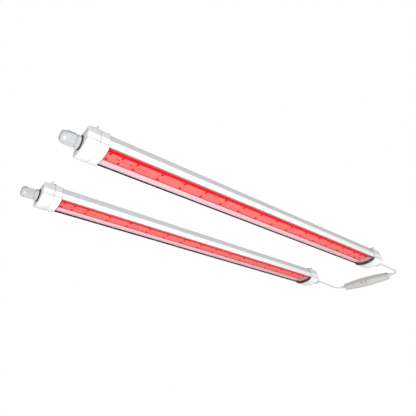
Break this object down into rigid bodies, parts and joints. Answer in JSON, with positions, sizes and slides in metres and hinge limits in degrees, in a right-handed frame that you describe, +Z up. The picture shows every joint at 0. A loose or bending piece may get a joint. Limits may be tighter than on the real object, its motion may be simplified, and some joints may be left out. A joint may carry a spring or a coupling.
{
  "type": "linked led light tubes",
  "caption": "White sealed LED light tubes with red boards behind clear windows, end glands and hanging bails, linked by a cable with an in-line driver.",
  "frame": {"origin": "on the surface the tubes lie on, midway between the two tubes and halfway along them", "axes": "+X along the tubes towards the linked ends, +Z up, away from the light windows"},
  "size_m": [1.467, 0.388, 0.0718],
  "materials": {
    "housing": "smooth extruded white plastic",
    "lens": "clear polished polycarbonate",
    "seal": "matt black rubber",
    "reflector": "white powder coat",
    "led_board": "circuit board in the light of its own red LEDs",
    "end_plate": "moulded grey plastic",
    "end_plastic": "moulded white plastic",
    "terminal_block": "moulded cream plastic",
    "gasket": "black rubber",
    "gland_plastic": "moulded light grey nylon",
    "gland_rubber": "dark grey rubber",
    "wire": "dark drawn wire",
    "driver_case": "fine-grained warm grey plastic",
    "circuit_board": "green solder mask",
    "transformer": "yellow winding tape",
    "driver_boot": "grey rubber",
    "cable": "light grey cable sheath"
  },
  "bodies": {
    "fixture": {"housing_a": "housing", "lens_cover_a": "lens", "seam_seal_left_a": "seal", "seam_seal_right_a": "seal", "reflector_tray_a": "reflector", "led_board_a": "led_board", "end_seal_near_a": "seal", "end_plate_near_a": "end_plate", "collar_near_a": "end_plastic", "end_cap_near_a": "end_plastic", "terminal_block_near_a": "terminal_block", "gland_gasket_near_a": "gasket", "gland_body_near_a": "gland_plastic", "gland_insert_near_a": "gland_rubber", "end_seal_far_a": "seal", "end_plate_far_a": "end_plate", "collar_far_a": "end_plastic", "end_cap_far_a": "end_plastic", "terminal_block_far_a": "terminal_block", "gland_gasket_far_a": "gasket", "gland_body_far_a": "gland_plastic", "gland_insert_far_a": "gland_rubber", "housing_b": "housing", "lens_cover_b": "lens", "seam_seal_left_b": "seal", "seam_seal_right_b": "seal", "reflector_tray_b": "reflector", "led_board_b": "led_board", "end_seal_near_b": "seal", "end_plate_near_b": "end_plate", "collar_near_b": "end_plastic", "end_cap_near_b": "end_plastic", "terminal_block_near_b": "terminal_block", "gland_gasket_near_b": "gasket", "gland_body_near_b": "gland_plastic", "gland_insert_near_b": "gland_rubber", "end_seal_far_b": "seal", "end_plate_far_b": "end_plate", "collar_far_b": "end_plastic", "end_cap_far_b": "end_plastic", "terminal_block_far_b": "terminal_block", "gland_gasket_far_b": "gasket", "gland_body_far_b": "gland_plastic", "gland_insert_far_b": "gland_rubber", "driver_shell_top": "driver_case", "driver_shell_bottom": "driver_case", "driver_board": "circuit_board", "driver_transformer": "transformer", "driver_boot_a": "driver_boot", "driver_boot_b": "driver_boot", "link_cable_a": "cable", "link_cable_b": "cable"},
    "gland_nut_near_a": {"gland_nut_near_a": "gland_plastic"},
    "hanger_bail_near_a": {"hanger_bail_near_a": "wire"},
    "gland_nut_far_a": {"gland_nut_far_a": "gland_plastic"},
    "hanger_bail_far_a": {"hanger_bail_far_a": "wire"},
    "gland_nut_near_b": {"gland_nut_near_b": "gland_plastic"},
    "hanger_bail_near_b": {"hanger_bail_near_b": "wire"},
    "gland_nut_far_b": {"gland_nut_far_b": "gland_plastic"},
    "hanger_bail_far_b": {"hanger_bail_far_b": "wire"}
  },
  "joints": [
    {"name": "gland_nut_turn_near_a", "type": "hinge", "parent": "fixture", "child": "gland_nut_near_a", "pos_m": [-0.6285, -0.15, 0.0285], "axis": [-1, 0, 0], "continuous": true},
    {"name": "bail_swing_near_a", "type": "hinge", "parent": "fixture", "child": "hanger_bail_near_a", "pos_m": [-0.577, -0.15, 0.0673], "axis": [0, -1, 0], "range_deg": [0, 190]},
    {"name": "gland_nut_turn_far_a", "type": "hinge", "parent": "fixture", "child": "gland_nut_far_a", "pos_m": [0.6285, -0.15, 0.0285], "axis": [1, 0, 0], "continuous": true},
    {"name": "bail_swing_far_a", "type": "hinge", "parent": "fixture", "child": "hanger_bail_far_a", "pos_m": [0.577, -0.15, 0.0673], "axis": [0, 1, 0], "range_deg": [0, 190]},
    {"name": "gland_nut_turn_near_b", "type": "hinge", "parent": "fixture", "child": "gland_nut_near_b", "pos_m": [-0.6285, 0.15, 0.0285], "axis": [-1, 0, 0], "continuous": true},
    {"name": "bail_swing_near_b", "type": "hinge", "parent": "fixture", "child": "hanger_bail_near_b", "pos_m": [-0.577, 0.15, 0.0673], "axis": [0, -1, 0], "range_deg": [0, 190]},
    {"name": "gland_nut_turn_far_b", "type": "hinge", "parent": "fixture", "child": "gland_nut_far_b", "pos_m": [0.6285, 0.15, 0.0285], "axis": [1, 0, 0], "continuous": true},
    {"name": "bail_swing_far_b", "type": "hinge", "parent": "fixture", "child": "hanger_bail_far_b", "pos_m": [0.577, 0.15, 0.0673], "axis": [0, 1, 0], "range_deg": [0, 190]}
  ]
}
